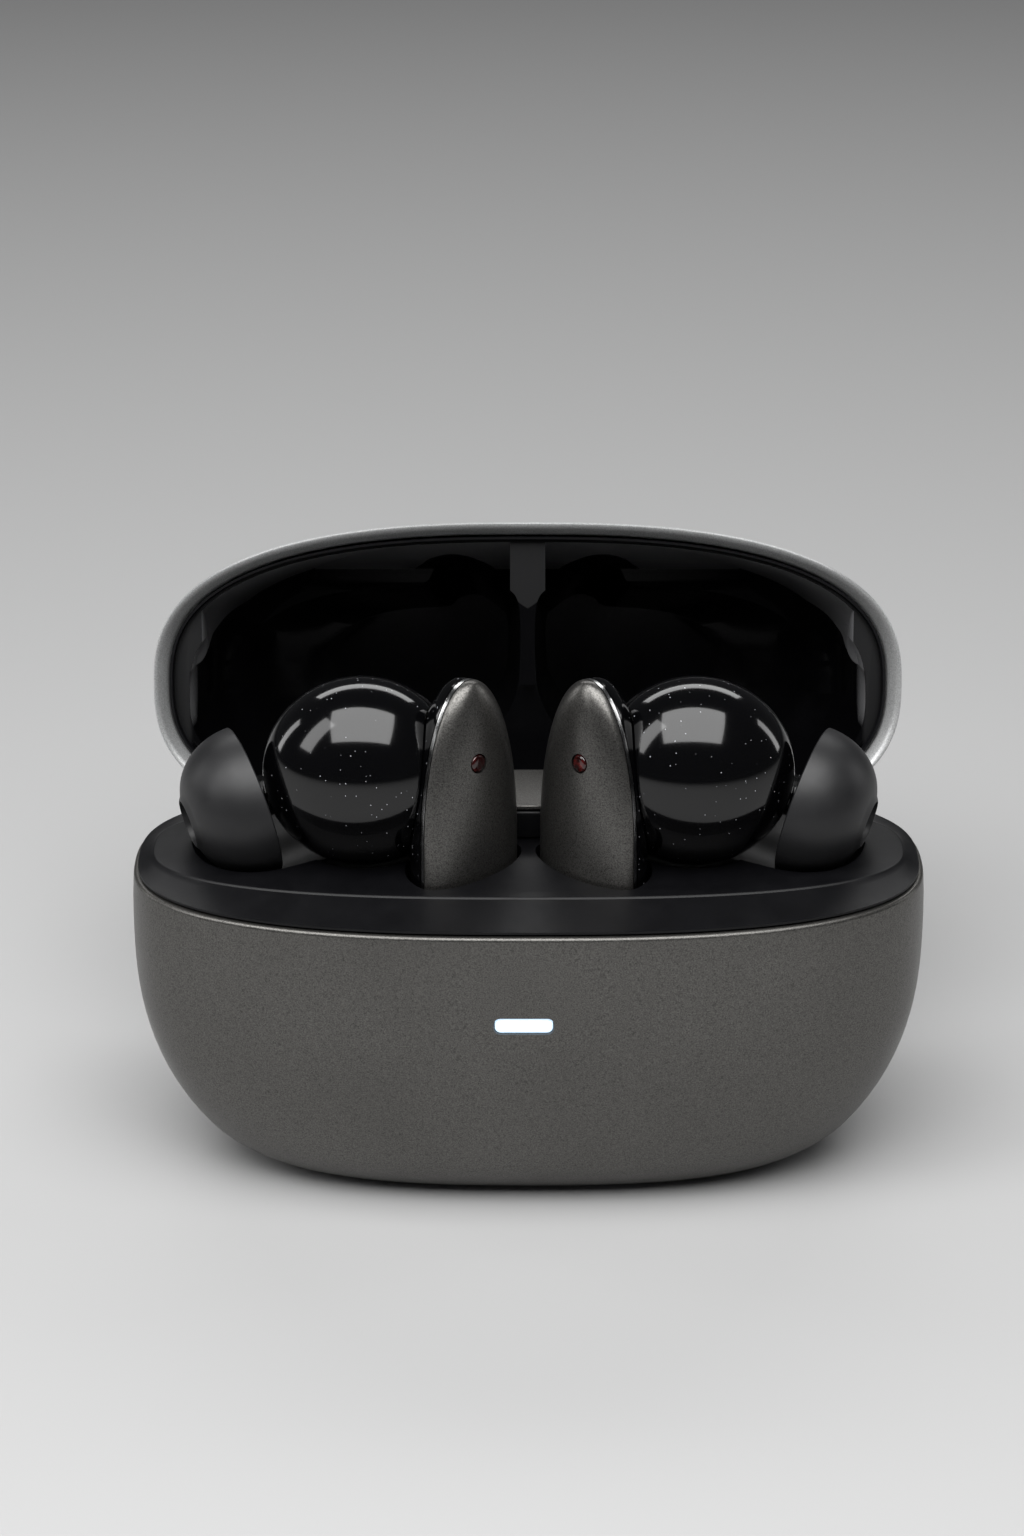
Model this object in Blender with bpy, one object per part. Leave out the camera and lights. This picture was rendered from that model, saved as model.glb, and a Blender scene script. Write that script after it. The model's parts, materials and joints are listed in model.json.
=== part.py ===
"""Charging case for a pair of wireless earbuds, open, with both earbuds seated.

Width is X, the front faces -Y, up is Z, and the case rests on Z = 0.
The lengths below are millimetres; the mesh builders turn them into metres.
"""

from math import cos, pi, radians, sin, sqrt

import bmesh
import bpy
from mathutils import Matrix, Vector

MM = 0.001
GAP = 0.3                      # air between pieces that touch on the real object

# Case: a pebble whose plan is a superellipse, widest at WIDEST_Z
HALF_W, HALF_D = 32.25, 14.0
PLAN_POWER = 2.6
WIDEST_Z, SEAM_Z, CASE_H = 20.8, 26.2, 49.5
LOWER_REACH, LOWER_POWER = 26.3, 2.4
UPPER_POWER = 2.5
FOOT_ROUND, FOOT_PULL = 4.2, 2.6   # height and inward pull of the rounding under the case
WALL = 1.2
FLOOR = 1.4
AROUND = 44                    # points round each outline

# Tray that holds the earbuds
TRAY_Z, TRAY_HALF_W, TRAY_HALF_D = 27.4, 30.45, 9.1
TRAY_UNDER = 23.2
TRAY_INSET = 0.35

# Lid and its hinge
HINGE_Y, HINGE_Z = 12.0, 22.8
OPEN_ANGLE = radians(107.5)
LID_RIM_Z = 26.7
LID_WALL = 1.1
RIM_RISE = 0.9                 # the lid's rim slopes up inwards over the tray's edge
LINER_Z = 28.3
SWING_R = 25.4                 # earbuds stay inside this radius about the hinge

# Earbud: stem axis at tray level, then the bulb and the ear tip
LEAN = radians(6.6)            # the stems lean back
STEM_X, STEM_Y = 4.8, -3.6
STEM_TURN = radians(45)        # the covers face forwards and inwards
STEM_HALF, COVER_BULGE, STEM_BACK = 5.05, 2.1, 4.4
STEM_TOP, STEM_SHOULDER, STEM_BOTTOM, STEM_FOOT_HALF = 15.7, 2.5, -11.5, 3.3
WINDOW_AT = (-0.7, -1.88, 9.3)      # the sensor window, in the stem's own frame
BULB_AT, BULB_R = (13.35, -0.2, 34.3), (8.1, 6.6, 7.9)
TIP_AT, TIP_YAW, TIP_DIP = (22.3, 0.6, 31.3), radians(20), radians(13)
TIP_R, TIP_LENGTH, TIP_MOUTH = 6.2, 5.7, 1.9
WELL_GAP = 0.4

# Fittings in the base
LED_X, LED_Z, LED_W, LED_H = -0.4, 18.4, 4.6, 1.25
BOARD_Z, BOARD_T = 4.4, 0.8
USB_W, USB_H, USB_DEPTH, USB_WALL = 8.94, 3.26, 7.0, 0.33
BUTTON_Z, BUTTON_R = 14.2, 2.1
PIN_R, PIN_SPREAD = 0.55, 1.6
SCREW_R, SCREW_HEAD_R = 0.7, 1.3

COLOURS = {
    "metal_paint": ((0.10, 0.097, 0.092), 0.38, 0.85),
    "lid_paint": ((0.20, 0.20, 0.195), 0.36, 0.85),
    "satin_black": ((0.012, 0.012, 0.014), 0.42, 0.0),
    "gloss_black": ((0.004, 0.004, 0.005), 0.06, 0.0),
    "silicone": ((0.03, 0.03, 0.032), 0.62, 0.0),
    "gunmetal": ((0.22, 0.215, 0.21), 0.35, 0.9),
    "chrome": ((0.75, 0.75, 0.75), 0.15, 1.0),
    "steel": ((0.45, 0.45, 0.46), 0.3, 1.0),
    "gold": ((0.83, 0.61, 0.25), 0.25, 1.0),
    "board_green": ((0.01, 0.07, 0.03), 0.5, 0.0),
    "cell_wrap": ((0.25, 0.27, 0.30), 0.4, 0.3),
    "lens_red": ((0.10, 0.006, 0.006), 0.1, 0.0),
    "led_white": ((0.80, 0.90, 1.0), 0.3, 0.0),
}


# ---------------------------------------------------------------- scene and materials

def clear_scene():
    for obj in list(bpy.data.objects):
        bpy.data.objects.remove(obj, do_unlink=True)


def material(slot):
    found = bpy.data.materials.get(slot)
    if found:
        return found
    colour, roughness, metallic = COLOURS[slot]
    made = bpy.data.materials.new(slot)
    made.use_nodes = True
    shader = made.node_tree.nodes["Principled BSDF"]
    shader.inputs["Base Color"].default_value = (*colour, 1.0)
    shader.inputs["Roughness"].default_value = roughness
    shader.inputs["Metallic"].default_value = metallic
    if slot == "led_white":
        shader.inputs["Emission Color"].default_value = (*colour, 1.0)
        shader.inputs["Emission Strength"].default_value = 3.0
    return made


def finish_mesh(name, bm, slot, smooth=True):
    bmesh.ops.recalc_face_normals(bm, faces=bm.faces)
    mesh = bpy.data.meshes.new(name)
    bm.to_mesh(mesh)
    bm.free()
    obj = bpy.data.objects.new(name, mesh)
    bpy.context.scene.collection.objects.link(obj)
    mesh.materials.append(material(slot))
    if smooth:
        mesh.shade_smooth()
        mesh.set_sharp_from_angle(angle=radians(35))
    return obj


def empty(name, at):
    obj = bpy.data.objects.new(name, None)
    bpy.context.scene.collection.objects.link(obj)
    obj.location = Vector(at) * MM
    return obj


def hang(parent, *objects):
    """Parents objects to an empty so that they keep their place until the empty moves."""
    bpy.context.view_layer.update()
    for obj in objects:
        obj.parent = parent
        obj.matrix_parent_inverse = parent.matrix_world.inverted()


# ---------------------------------------------------------------- outlines and solids

def power(value, exponent):
    return abs(value) ** exponent * (1 if value >= 0 else -1)


def outline(a, b, z, exponent=PLAN_POWER, count=AROUND):
    """A level superellipse with half-axes a and b."""
    turns = [2 * pi * i / count for i in range(count)]
    return [(a * power(cos(t), 2 / exponent), b * power(sin(t), 2 / exponent), z) for t in turns]


def loft(name, rings, slot, smooth=True):
    """A closed solid through rings of equal length, capped at both ends."""
    bm = bmesh.new()
    rows = [[bm.verts.new(Vector(p) * MM) for p in ring] for ring in rings]
    count = len(rows[0])
    for low, high in zip(rows, rows[1:]):
        for i in range(count):
            j = (i + 1) % count
            bm.faces.new((low[i], low[j], high[j], high[i]))
    bm.faces.new(rows[0])
    bm.faces.new(rows[-1])
    return finish_mesh(name, bm, slot, smooth)


def placed(obj, matrix):
    """Moves the mesh itself, so that the object stays at the origin."""
    obj.data.transform(matrix)
    if matrix.determinant() < 0:
        obj.data.flip_normals()
    return obj


def box(name, low, high, slot):
    corners = ((low[0], low[1]), (high[0], low[1]), (high[0], high[1]), (low[0], high[1]))
    return loft(name, [[(x, y, z) for x, y in corners] for z in (low[2], high[2])], slot, False)


def rounded_bar(name, half_w, half_h, radius, y0, y1, at, slot):
    """A bar along Y whose section is a rounded rectangle."""
    section = []
    for corner, (sx, sz) in enumerate(((1, 1), (-1, 1), (-1, -1), (1, -1))):
        for step in range(5):
            turn = pi / 2 * (corner + step / 4)
            x = sx * (half_w - radius) + radius * cos(turn)
            z = sz * (half_h - radius) + radius * sin(turn)
            section.append((x, z))
    rings = [[(at[0] + x, y, at[2] + z) for x, z in section] for y in (y0, y1)]
    return loft(name, rings, slot)


def spun(name, profile, slot, axis=(0, 0, 1), at=(0, 0, 0), count=24):
    """A solid of revolution: profile is (radius, height) pairs from one end to the other."""
    rings = []
    for radius, height in profile:
        turns = [2 * pi * i / count for i in range(count)]
        rings.append([(radius * cos(t), radius * sin(t), height) for t in turns])
    obj = loft(name, rings, slot)
    aim = Vector((0, 0, 1)).rotation_difference(Vector(axis)).to_matrix().to_4x4()
    return placed(obj, Matrix.Translation(Vector(at) * MM) @ aim)


def ball(name, centre, radii, slot, grow=0.0, columns=22, rows=12):
    """An ellipsoid, its poles on X."""
    rings = []
    for i in range(rows + 1):
        angle = pi * (0.03 + 0.94 * i / rows)
        x = centre[0] - (radii[0] + grow) * cos(angle)
        wide = sin(angle)
        rings.append([
            (x, centre[1] + (radii[1] + grow) * wide * cos(t), centre[2] + (radii[2] + grow) * wide * sin(t))
            for t in (2 * pi * j / columns for j in range(columns))
        ])
    return loft(name, rings, slot)


def cut(target, cutter, operation="DIFFERENCE"):
    """Applies a Boolean of the target with the cutter, and keeps the cutter as a hidden guide."""
    modifier = target.modifiers.new(f"{operation.lower()}_{cutter.name}"[:60], "BOOLEAN")
    modifier.operation = operation
    modifier.object = cutter
    modifier.solver = "EXACT"
    cutter.hide_render = True
    cutter.display_type = "WIRE"
    return target


# ---------------------------------------------------------------- the case's form

def base_axes(z, inset=0.0):
    """Half-axes of the case's outline at height z, below or just above the widest level."""
    if z <= WIDEST_Z:
        share = (1 - ((WIDEST_Z - z) / LOWER_REACH) ** LOWER_POWER) ** (1 / LOWER_POWER)
    else:
        share = (1 - ((z - WIDEST_Z) / (CASE_H - WIDEST_Z)) ** UPPER_POWER) ** (1 / UPPER_POWER)
    pull = 0.0
    if z < FOOT_ROUND:
        pull = FOOT_PULL * (1 - sqrt(1 - (1 - z / FOOT_ROUND) ** 2))
    return HALF_W * share - pull - inset, HALF_D * share - pull - inset


def case_ring(z, inset=0.0, at=None):
    a, b = base_axes(z, inset)
    return outline(a, b, z if at is None else at)


def build_base_shell():
    heights = (0, 0.12, 0.5, 1.2, 2.4, 4.2, 7, 10.5, 14.5, 18, WIDEST_Z, 23.6, SEAM_Z - 0.3)
    rings = [case_ring(z) for z in heights]
    rings.append(case_ring(SEAM_Z, 0.25))
    rings.append(case_ring(SEAM_Z, WALL))
    inner = (23.6, WIDEST_Z, 17, 13, 9, 5.5, 2.8, 1.9)
    rings += [case_ring(z, WALL) for z in inner]
    rings.append(case_ring(1.9, WALL + 1.2, FLOOR))
    shell = loft("base_shell", rings, "metal_paint")
    led = rounded_bar("led_hole", LED_W / 2 + 0.1, LED_H / 2 + 0.1, 0.55, -HALF_D - 2, -HALF_D + 3,
                      (LED_X, 0, LED_Z), "satin_black")
    cut(shell, led)
    usb_z = BOARD_Z + BOARD_T + GAP + USB_H / 2
    usb = rounded_bar("usb_hole", USB_W / 2 + 0.25, USB_H / 2 + 0.25, 1.7, 9.5, 16, (0, 0, usb_z), "satin_black")
    cut(shell, usb)
    cut(shell, spun("button_hole", [(BUTTON_R + 0.15, 0), (BUTTON_R + 0.15, 6)], "satin_black",
                    (0, 1, 0), (0, 10.5, BUTTON_Z)))
    cut(shell, box("arm_slot", (-EAR_OUT - 0.35, 10.0, HINGE_Z - 3.2), (EAR_OUT + 0.35, 16, 30), "satin_black"))
    return shell


# ---------------------------------------------------------------- hinge

ARM_HALF = 4.6
EAR_IN, EAR_OUT = 5.1, 6.1
PIN_RADIUS = 0.8


def yz_prism(name, section, x0, x1, slot):
    """A solid of constant section along X; the section is (y, z) pairs."""
    return loft(name, [[(x, y, z) for y, z in section] for x in (x0, x1)], slot, False)


def build_hinge_arm():
    """The lid's leaf: a knuckle round the pin, a neck, and a plate inside the lid's back wall."""
    y, z = HINGE_Y, HINGE_Z
    knuckle = [(y + 1.9 * cos(t), z + 1.9 * sin(t)) for t in
               (radians(a) for a in range(205, 361, 31))]
    section = knuckle + [(y + 1.75, z + 3.2), (y - 0.4, z + 6.2), (y - 0.4, z + 9.6),
                         (y - 1.3, z + 9.6), (y - 1.3, z + 4.0)]
    arm = yz_prism("hinge_arm", section, -ARM_HALF, ARM_HALF, "gunmetal")
    cut(arm, spun("arm_bore", [(PIN_RADIUS + 0.12, -8), (PIN_RADIUS + 0.12, 8)], "steel",
                  (1, 0, 0), (0, y, z), 16))
    cut(arm, box("spring_bay", (1.7, y - 3.4, z - 3.4), (ARM_HALF + 1, y + 3, z + 2.6), "steel"))
    return arm


def build_hinge_bracket():
    """The base's leaf: two ears for the pin on a plate screwed up against the tray."""
    y, z = HINGE_Y, HINGE_Z
    plate = box("hinge_bracket", (-9.6, 5.9, TRAY_UNDER - 1.25), (9.6, 9.4, TRAY_UNDER - 0.3), "steel")
    for side in (-1, 1):
        ear = [(9.2, z - 1.6), (y, z - 1.5), (y + 1.0, z - 0.9), (y + 1.2, z), (y + 1.0, z + 0.9), (y, z + 1.5),
               (10.2, z + 0.1), (9.2, z + 0.1)]
        low, high = sorted((side * EAR_IN, side * EAR_OUT))
        cut(plate, yz_prism(f"ear_{side}", ear, low, high, "steel"), "UNION")
        cut(plate, spun(f"screw_way_{side}", [(SCREW_R + 0.15, -3), (SCREW_R + 0.15, 3)], "steel",
                        (0, 0, 1), (side * 8.0, 7.5, TRAY_UNDER - 0.8), 12))
    cut(plate, spun("ear_bore", [(PIN_RADIUS + 0.08, -12), (PIN_RADIUS + 0.08, 12)], "steel",
                    (1, 0, 0), (0, y, z), 16))
    return plate


def build_hinge_pin():
    return spun("hinge_pin", [(0.6, -EAR_OUT - 0.2), (PIN_RADIUS, -EAR_OUT), (PIN_RADIUS, EAR_OUT), (0.6, EAR_OUT + 0.2)], "steel",
                (1, 0, 0), (0, HINGE_Y, HINGE_Z), 16)


def build_hinge_spring():
    """A torsion spring of four turns round the pin, with one leg on the bracket's plate."""
    wire, coil, turns, pitch = 0.2, 1.45, 4, 0.55
    steps = 10
    points = []
    for i in range(turns * steps + 1):
        t = 2 * pi * i / steps
        points.append((2.3 + pitch * i / steps, HINGE_Y + coil * cos(t), HINGE_Z + coil * sin(t)))
    points.append((2.3 + pitch * turns, HINGE_Y + coil, HINGE_Z - 2.6))
    curve = bpy.data.curves.new("hinge_spring", "CURVE")
    curve.dimensions = "3D"
    curve.bevel_depth = wire * MM
    curve.bevel_resolution = 0
    curve.use_fill_caps = True
    spline = curve.splines.new("POLY")
    spline.points.add(len(points) - 1)
    for point, place in zip(spline.points, points):
        point.co = (*(Vector(place) * MM), 1)
    obj = bpy.data.objects.new("hinge_spring", curve)
    bpy.context.scene.collection.objects.link(obj)
    curve.materials.append(material("steel"))
    return obj


def build_screw(name, x, y, z_head):
    """A pan-head screw driven upwards, with a cross recess left to a plain hexagon."""
    screw = spun(name, [(SCREW_HEAD_R, -0.9), (SCREW_HEAD_R, -0.2), (SCREW_R, 0), (SCREW_R, 2.6), (0.4, 3.0)],
                 "steel", (0, 0, 1), (x, y, z_head), 16)
    cut(screw, spun(f"{name}_recess", [(0.55, -1.5), (0.55, -0.45)], "steel", (0, 0, 1), (x, y, z_head), 6))
    return screw


# ---------------------------------------------------------------- earbud forms

def stem_frame(side):
    """From the stem's own axes (along the cover, out of the cover, up) to the world."""
    turn = Matrix.Rotation(STEM_TURN, 4, "Z")
    lean = Matrix.Rotation(-LEAN, 4, "X")
    place = Matrix.Translation(Vector((-STEM_X, STEM_Y, TRAY_Z)) * MM)
    mirror = Matrix.Scale(-1, 4, (1, 0, 0)) if side > 0 else Matrix.Identity(4)
    return mirror @ place @ lean @ turn


def side_matrix(side):
    return Matrix.Scale(-1, 4, (1, 0, 0)) if side > 0 else Matrix.Identity(4)


def lift_axis():
    return (0.0, sin(LEAN), cos(LEAN))


def stem_half(height):
    """Half-width of the stem's section: a long foot, a straight run and a half-ellipse top."""
    if height > STEM_SHOULDER:
        share = min((height - STEM_SHOULDER) / (STEM_TOP - STEM_SHOULDER), 0.995)
        return STEM_HALF * sqrt(1 - share * share)
    if height < -1:
        share = (-1 - height) / (-1 - STEM_BOTTOM)
        return STEM_HALF + (STEM_FOOT_HALF - STEM_HALF) * share ** 2
    return STEM_HALF


def stem_solid(name, side, slot, y_low, y_high, grow=0.0, low=STEM_BOTTOM, high=None, steps=11, count=18):
    """The stem's form between two depths of its section: its back is negative Y, its cover positive."""
    high = STEM_TOP + grow if high is None else high
    rings = []
    for i in range(steps):
        share = i / (steps - 1)
        height = low + (high - low) * (1 - (1 - share) ** 1.6)
        half = stem_half(min(height, STEM_TOP)) + grow
        size = min(half / STEM_HALF, 1.0) ** 0.6
        ring = []
        for j in range(count):
            t = 2 * pi * j / count
            x = half * cos(t)
            y = sin(t) * size * (COVER_BULGE + grow if sin(t) > 0 else STEM_BACK + grow)
            ring.append((x, -min(max(y, y_low), y_high), height))
        rings.append(ring)
    return placed(loft(name, rings, slot), stem_frame(side))


def tip_axis():
    return (-cos(TIP_YAW) * cos(TIP_DIP), -sin(TIP_YAW) * cos(TIP_DIP), -sin(TIP_DIP))


def tip_profile(grow=0.0):
    """Outer profile of the ear tip from its flared skirt to its mouth."""
    points = []
    for i in range(7):
        t = pi / 2 * i / 7
        radius = (TIP_R + grow) * cos(t) ** 0.78
        height = (TIP_LENGTH + grow) * sin(t)
        if radius > TIP_MOUTH:
            points.append((radius, height))
    return points


def well_cutter(name, side):
    """Room for the ear tip, the bulb and the nozzle between them."""
    cutter = ball(name, (-BULB_AT[0], BULB_AT[1], BULB_AT[2]), BULB_R, "satin_black", WELL_GAP)
    place = (-TIP_AT[0], TIP_AT[1], TIP_AT[2])
    tip = [(TIP_R + WELL_GAP, -4.4)] + tip_profile(WELL_GAP)
    cut(cutter, spun(f"{name}_tip", tip, "satin_black", tip_axis(), place, 28), "UNION")
    return cutter if side < 0 else mirrored(cutter)


def build_ear_tip(name, side):
    outer = tip_profile()
    wall = 0.45
    inner = [(max(r - wall, TIP_MOUTH + 0.02), h - wall * 0.5) for r, h in outer[1:]]
    profile = outer + [(TIP_MOUTH, TIP_LENGTH), (TIP_MOUTH, -0.4), (TIP_MOUTH + 0.75, -0.4)]
    profile += [(TIP_MOUTH + 0.75, inner[-1][1] - 0.7)]
    profile += [(max(r, TIP_MOUTH + 1.0), h) for r, h in reversed(inner)] + [(TIP_R - wall, 0.0)]
    bm = bmesh.new()
    rows = []
    count = 20
    for radius, height in profile:
        turns = (2 * pi * i / count for i in range(count))
        rows.append([bm.verts.new(Vector((radius * cos(t), radius * sin(t), height)) * MM) for t in turns])
    for low, high in zip(rows, rows[1:] + rows[:1]):
        for i in range(count):
            bm.faces.new((low[i], low[(i + 1) % count], high[(i + 1) % count], high[i]))
    tip = finish_mesh(name, bm, "silicone")
    aim = Vector((0, 0, 1)).rotation_difference(Vector(tip_axis())).to_matrix().to_4x4()
    place = Matrix.Translation(Vector((-TIP_AT[0], TIP_AT[1], TIP_AT[2])) * MM)
    return placed(tip, side_matrix(side) @ place @ aim)


def along_tip(distance):
    axis = tip_axis()
    return tuple(at + step * distance for at, step in zip((-TIP_AT[0], TIP_AT[1], TIP_AT[2]), axis))


def build_nozzle(name, side):
    """The sound tube: a collar on the bulb and a barrel with a groove that holds the ear tip."""
    bore = TIP_MOUTH - 0.15
    tube = spun(name, [(bore + 0.9, -3.6), (bore + 0.9, -2.9), (bore, -2.8), (bore, 5.0)],
                "gloss_black", tip_axis(), along_tip(0), 20)
    cut(tube, spun(f"{name}_bore", [(1.1, -5), (1.1, 6)], "gloss_black", tip_axis(), along_tip(0), 16))
    cut(tube, ball(f"{name}_seat", (-BULB_AT[0], BULB_AT[1], BULB_AT[2]), BULB_R, "gloss_black", 0.1))
    return placed(tube, side_matrix(side)) if side < 0 else mirrored(tube)


def mirrored(obj):
    """Mirrors a piece and its hidden cutters across X = 0."""
    for modifier in obj.modifiers:
        if modifier.type == "BOOLEAN":
            placed(modifier.object, side_matrix(1))
    return placed(obj, side_matrix(1))


def build_bulb(name, side):
    """The speaker housing: a hollow ball, open to the stem and to the nozzle."""
    centre = (-BULB_AT[0], BULB_AT[1], BULB_AT[2])
    bulb = ball(name, centre, BULB_R, "gloss_black")
    cut(bulb, ball(f"{name}_room", centre, BULB_R, "gloss_black", -0.9, 14, 8))
    cut(bulb, spun(f"{name}_mouth", [(1.6, -6), (1.6, 4)], "gloss_black", tip_axis(), along_tip(0), 16))
    cut(bulb, stem_solid(f"{name}_stem_way", -1, "gloss_black", -9, 9, 0.12))
    return bulb if side < 0 else mirrored(bulb)


def build_earbud(word, side):
    """Every piece of one earbud. side is -1 for the left and 1 for the right."""
    def name(piece):
        return f"{word}_{piece}"

    frame = stem_frame(side)
    pieces = [build_bulb(name("bulb_housing"), side), build_nozzle(name("nozzle"), side),
              build_ear_tip(name("ear_tip"), side)]
    housing = stem_solid(name("stem_housing"), side, "gloss_black", -9, -0.45)
    cut(housing, stem_solid(name("stem_room"), side, "gloss_black", -3.5, 2, -0.9, STEM_BOTTOM + 0.9))
    trim = stem_solid(name("trim_ring"), side, "chrome", -0.35, 0.0)
    cut(trim, stem_solid(name("trim_room"), side, "chrome", -2, 2, -0.55, STEM_BOTTOM + 0.6, STEM_TOP - 0.8))
    cover = stem_solid(name("stem_cover"), side, "gunmetal", 0.1, 9)
    window = spun(name("sensor_window"), [(0.7, -0.5), (0.7, 0.02), (0.45, 0.12)], "lens_red", (0, -1, 0),
                  WINDOW_AT, 12)
    hole = spun(name("window_hole"), [(0.8, -1.0), (0.8, 2.0)], "lens_red", (0, -1, 0), WINDOW_AT, 12)
    placed(window, frame)
    placed(hole, frame)
    cut(cover, hole)
    pieces += [housing, trim, cover, window]

    board = placed(box(name("circuit_board"), (-2.4, 0.8, -9.2), (2.4, 1.3, 9.5), "board_green"), frame)
    battery = spun(name("battery"), [(3.1, -1.9), (3.4, -1.6), (3.4, 1.6), (3.1, 1.9)], "cell_wrap",
                   (1, 0, 0), (-BULB_AT[0] + 0.5, 0.4, BULB_AT[2] + 1.5), 20)
    driver = spun(name("speaker_driver"), [(3.5, -0.8), (3.5, 0.5), (2.4, 0.9)], "steel", tip_axis(),
                  (-BULB_AT[0] - 3.9, -0.3, BULB_AT[2] - 0.4), 20)
    magnet = spun(name("magnet"), [(1.6, 0), (1.6, 1.0)], "steel", (0, 0, 1),
                  (-BULB_AT[0], -0.2, BULB_AT[2] - BULB_R[2] + 1.4), 16)
    pieces.append(board)
    for piece in (battery, driver, magnet):
        pieces.append(placed(piece, side_matrix(side)))
    for index, offset in enumerate((-PIN_SPREAD, PIN_SPREAD), 1):
        contact = spun(name(f"charge_contact_{index}"), [(0.6, -0.4), (0.6, 0.55)], "gold", (0, 0, 1),
                       (offset, 1.2, STEM_BOTTOM - 0.02), 12)
        placed(contact, frame)
        hole = placed(spun(name(f"contact_hole_{index}"), [(0.7, -2), (0.7, 3)], "gold", (0, 0, 1),
                           (offset, 1.2, STEM_BOTTOM), 12), frame)
        cut(housing, hole)
        pieces.append(contact)
    lift = empty(f"{word}_earbud_lift", (side * STEM_X, STEM_Y, TRAY_Z))
    hang(lift, *pieces)
    return pieces


# ---------------------------------------------------------------- tray

def tray_rings():
    bottom = case_ring(TRAY_UNDER, WALL + 0.35)
    step = case_ring(SEAM_Z, WALL + 0.35)
    under = [(x, y, SEAM_Z + 0.2) for x, y, _ in case_ring(SEAM_Z, TRAY_INSET)]
    edge = [(x, y, SEAM_Z + 0.4) for x, y, _ in case_ring(SEAM_Z, TRAY_INSET)]
    neck = [(x, y, SEAM_Z + 0.2) for x, y, _ in step]
    rim = outline(TRAY_HALF_W, TRAY_HALF_D, TRAY_Z)
    return [bottom, neck, under, edge, rim]


def stem_well(name, side, grow, low, high):
    """A straight well for the stem, swept along the way the earbud lifts out."""
    rings = []
    for height in (low, high):
        half = STEM_HALF + grow
        ring = []
        for j in range(24):
            t = 2 * pi * j / 24
            y = sin(t) * (COVER_BULGE + grow if sin(t) > 0 else STEM_BACK + grow)
            ring.append((half * cos(t), -y, height))
        rings.append(ring)
    return placed(loft(name, rings, "satin_black"), stem_frame(side))


def build_tray():
    tray = loft("tray", tray_rings(), "satin_black")
    for side in (-1, 1):
        cut(tray, stem_well(f"well_wall_{side}", side, WELL_GAP + 0.8, STEM_BOTTOM - 1.3, -1.5), "UNION")
    for side in (-1, 1):
        cut(tray, stem_well(f"stem_well_{side}", side, WELL_GAP, STEM_BOTTOM - 0.4, 6))
        cut(tray, well_cutter(f"bulb_well_{side}", side))
        for offset in (-PIN_SPREAD, PIN_SPREAD):
            hole = spun(f"pin_hole_{side}_{offset}", [(PIN_R + 0.15, -3), (PIN_R + 0.15, 2)], "satin_black",
                        (0, 0, 1), (offset, 1.2, STEM_BOTTOM - 0.5), 10)
            cut(tray, placed(hole, stem_frame(side)))
        cut(tray, spun(f"screw_pilot_{side}", [(SCREW_R + 0.15, -2), (SCREW_R + 0.15, 1.9)], "satin_black",
                       (0, 0, 1), (side * 8.0, 7.5, TRAY_UNDER), 12))
    cut(tray, box("arm_notch", (-EAR_OUT - 0.5, 8.95, HINGE_Z - 4), (EAR_OUT + 0.5, 16, 30), "satin_black"))
    return tray


def build_hinge_cover():
    """The raised block behind the stems and the metal plate on it."""
    foot, top = TRAY_Z + 0.12, TRAY_Z + 2.5
    plan = [(-1.2, 1.1), (1.2, 1.1), (1.2, 1.6), (3.4, 4.6), (3.4, 8.3), (-3.4, 8.3), (-3.4, 4.6), (-1.2, 1.6)]
    block = loft("hinge_cover", [[(x, y, z) for x, y in plan] for z in (foot, top)], "satin_black", False)
    plate = loft("hinge_cover_plate",
                 [[(x * 0.96, 4.6 + (y - 4.6) * 0.96, z) for x, y in plan] for z in (top + 0.1, top + 0.5)],
                 "gunmetal", False)
    return [block, plate]


# ---------------------------------------------------------------- lid (built closed, then opened)

def lid_ring(z, inset=0.0, at=None):
    return case_ring(z, inset, at)


def build_lid_shell():
    heights = (LID_RIM_Z + 0.5, 29, 32, 35.5, 39, 42, 44.6, 46.8, 48.3, 49.2)
    rings = [lid_ring(LID_RIM_Z + 0.5)]
    rings += [lid_ring(z) for z in heights[1:]]
    rings.append(lid_ring(49.45))
    inner = (46.9, 46.0, 44.0, 41.5, 38, 34, 30, LID_RIM_Z + RIM_RISE)
    rings += [lid_ring(z + LID_WALL, LID_WALL, z) for z in inner[:4]]
    rings += [lid_ring(z, LID_WALL) for z in inner[4:]]
    rings.append(lid_ring(LID_RIM_Z, 0.3, LID_RIM_Z))
    rings = rings[-1:] + rings[:-1]
    rim_inner = rings.pop()
    bm = bmesh.new()
    ordered = rings + [rim_inner]
    rows = [[bm.verts.new(Vector(p) * MM) for p in ring] for ring in ordered]
    top_outer = len(heights) + 1
    for index, (low, high) in enumerate(zip(rows, rows[1:] + rows[:1])):
        if index == top_outer:
            continue
        for i in range(AROUND):
            j = (i + 1) % AROUND
            bm.faces.new((low[i], low[j], high[j], high[i]))
    bm.faces.new(rows[top_outer])
    bm.faces.new(rows[top_outer + 1])
    return finish_mesh("lid_shell", bm, "lid_paint")


def cavity_plan(side):
    """The opening over one earbud: from the divider round the hump over the stem and the end of the case."""
    front = [(0.75, -6.6), (2.2, -8.4), (4.2, -9.9), (6.2, -10.5), (8.4, -9.9), (10.2, -8.6), (16, -8.2),
             (21, -7.4), (25.6, -5.6), (28.3, -2.8)]
    rear = [(29.0, 1.0), (28.4, 4.6), (25.4, 7.7), (19.5, 9.2), (13.5, 9.9), (8.6, 9.6), (5.4, 7.8), (3.2, 5.2),
            (1.5, 2.6), (0.75, -0.2)]
    return [(side * x, y) for x, y in front + rear]


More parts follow.
